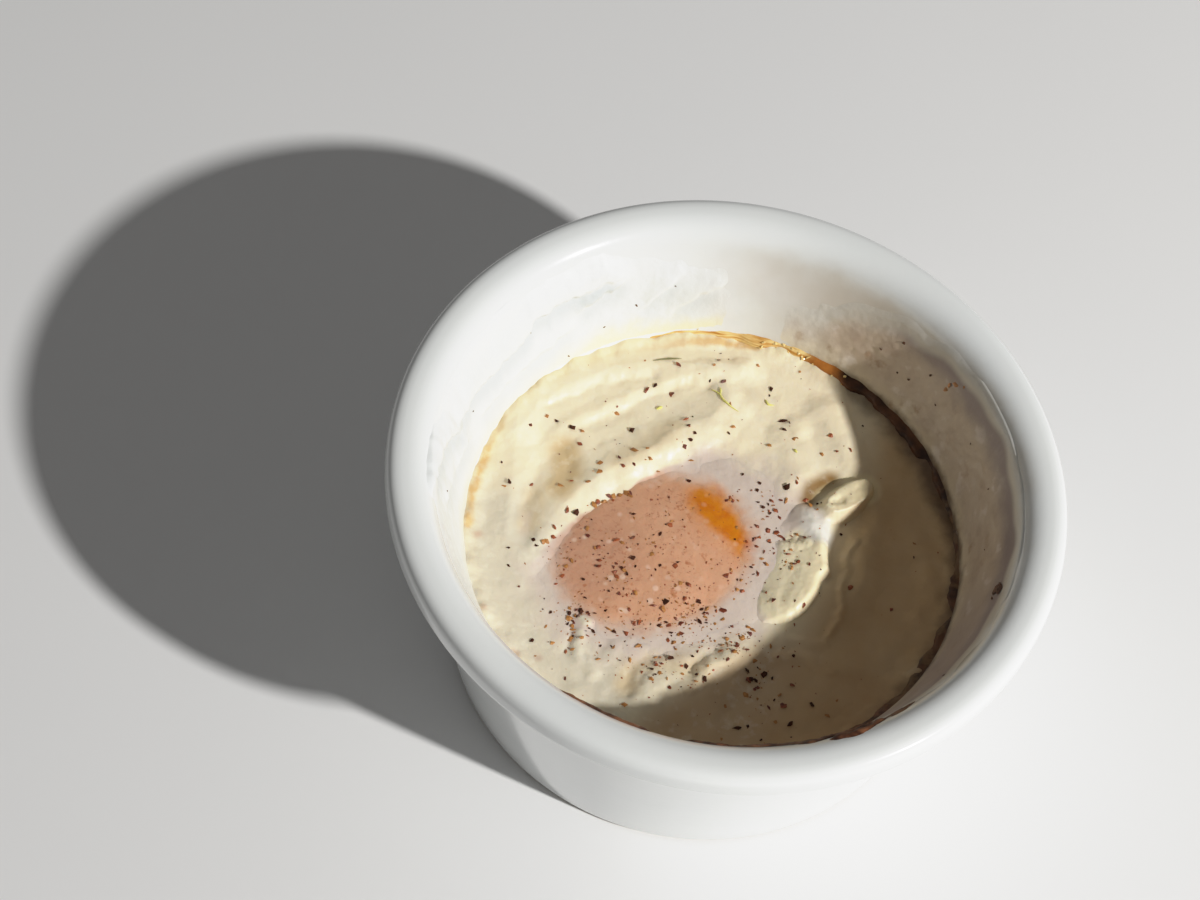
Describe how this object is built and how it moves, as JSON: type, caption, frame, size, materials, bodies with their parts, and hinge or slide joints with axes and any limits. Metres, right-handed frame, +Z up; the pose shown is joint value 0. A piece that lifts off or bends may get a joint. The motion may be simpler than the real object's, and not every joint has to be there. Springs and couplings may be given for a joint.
{
  "type": "ramekin of baked egg",
  "caption": "Tapered white porcelain ramekin with a rolled lip, filled with set cream and a baked egg whose yolk shows in the cream.",
  "frame": {"origin": "on the table under the middle of the dish", "axes": "+Z up along the dish's axis; +Y away from the viewer the food faces, so the standing curl of cream is on the +X side of the yolk"},
  "size_m": [0.1, 0.1, 0.045],
  "materials": {
    "porcelain": "smooth glossy white glaze, with a thin baked-on film of egg on the inside",
    "cream": "set cream, pale ivory yellow, satin, with a browned edge",
    "egg_white": "just-set egg white, translucent lilac white, moist",
    "yolk": "yolk under a cooked film, salmon pink, with an orange streak where the film is open",
    "seasoning": "ground pepper, paprika and herb",
    "crust": "browned edge of the cream, golden to dark brown"
  },
  "bodies": {
    "root": {"ramekin": "porcelain", "cream": "cream", "egg_white": "egg_white", "yolk": "yolk", "cream_curl": "cream"}
  },
  "joints": []
}
